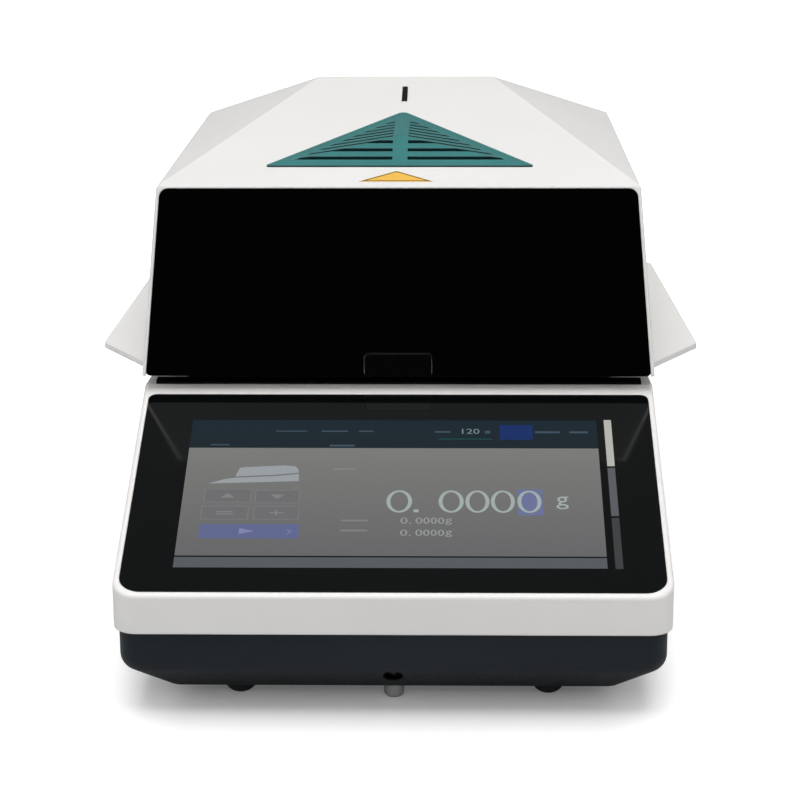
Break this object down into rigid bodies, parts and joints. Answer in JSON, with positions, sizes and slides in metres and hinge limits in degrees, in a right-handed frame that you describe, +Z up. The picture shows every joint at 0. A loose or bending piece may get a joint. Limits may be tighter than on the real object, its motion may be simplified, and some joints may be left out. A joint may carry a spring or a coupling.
{
  "type": "halogen moisture analyzer",
  "caption": "Bench moisture analyser with a sloping touch screen and a hinged faceted lid that holds a ring lamp over a weighing pan.",
  "frame": {"origin": "on the table under the middle of the case", "axes": "+Z up, +Y towards the back of the case along its length, +X to the right seen from the front"},
  "size_m": [0.2374, 0.37, 0.1707],
  "materials": {
    "housing_white": "satin",
    "tray_charcoal": "fine grain",
    "screen_glass": "gloss",
    "lid_black_glass": "gloss",
    "grip_black": "gloss",
    "grille_teal": "satin",
    "marker_amber": "gloss",
    "slit_red": "gloss",
    "plug_black": "matt",
    "foot_rubber": "matt",
    "foot_grey": "matt",
    "leveller_grey": "matt",
    "deck_dark": "matt",
    "lining_dark": "matt",
    "steel": "brushed",
    "polished_reflector": "polished",
    "aluminium": "machined",
    "brass": "turned",
    "clear_glass": "clear",
    "lamp_quartz": "clear",
    "ceramic": "matt",
    "board_green": "satin",
    "display_module": "satin",
    "socket_black": "satin",
    "panel_grey": "satin",
    "vial_green": "clear",
    "motor_steel": "satin"
  },
  "bodies": {
    "base": {"base_tray": "tray_charcoal", "upper_housing": "housing_white", "touch_glass": "screen_glass", "display_panel": "display_module", "display_bracket": "steel", "display_board": "board_green", "chamber_deck": "deck_dark", "hinge_bushes": "brass", "heat_dish": "steel", "draft_ring": "steel", "pan_carrier": "aluminium", "load_cell": "aluminium", "load_cell_mount": "aluminium", "main_board": "board_green", "power_supply": "board_green", "rear_panel": "panel_grey", "power_inlet": "socket_black", "inlet_pins": "brass", "switch_frame": "socket_black", "serial_port": "steel", "usb_port": "steel", "lid_motor": "motor_steel", "motor_plate": "steel", "front_feet": "foot_rubber", "centre_foot": "foot_grey", "front_plug": "plug_black", "foot_inserts": "brass", "level_body": "socket_black", "level_vial": "vial_green", "lid_bumpers": "foot_rubber", "case_screws": "steel", "deck_screws": "steel"},
    "lid": {"lid_shell": "housing_white", "lid_glass": "lid_black_glass", "grip_tab": "grip_black", "vent_grille": "grille_teal", "slit_window": "slit_red", "marker_plate": "marker_amber", "lid_lining": "lining_dark", "cover_glass": "clear_glass", "glass_clamp": "steel", "reflector": "polished_reflector", "halogen_ring": "lamp_quartz", "lamp_holders": "ceramic", "temperature_probe": "steel", "heat_baffle": "aluminium", "lid_arms": "steel", "hinge_pins": "steel", "drive_shaft": "steel", "drive_arm": "aluminium", "lid_screws": "steel"},
    "sample_pan": {"sample_pan": "aluminium", "pan_handler": "grip_black"},
    "power_rocker": {"power_rocker": "socket_black"},
    "leveller_left": {"leveller_left": "leveller_grey"},
    "leveller_right": {"leveller_right": "leveller_grey"}
  },
  "joints": [
    {"name": "lid_hinge", "type": "hinge", "parent": "base", "child": "lid", "pos_m": [0, 0.168, 0.11601], "axis": [-1, 0, 0], "range_deg": [0, 65]},
    {"name": "pan_lift", "type": "slide", "parent": "base", "child": "sample_pan", "axis": [0, 0, 1], "range_m": [0, 0.009]},
    {"name": "power_switch", "type": "hinge", "parent": "base", "child": "power_rocker", "pos_m": [-0.008, 0.1794, 0.06], "axis": [-1, 0, 0], "range_deg": [0, 16]},
    {"name": "leveller_left_spin", "type": "hinge", "parent": "base", "child": "leveller_left", "pos_m": [-0.06, 0.146, 0], "axis": [0, 0, 1], "continuous": true},
    {"name": "leveller_right_spin", "type": "hinge", "parent": "base", "child": "leveller_right", "pos_m": [0.06, 0.146, 0], "axis": [0, 0, 1], "continuous": true}
  ]
}
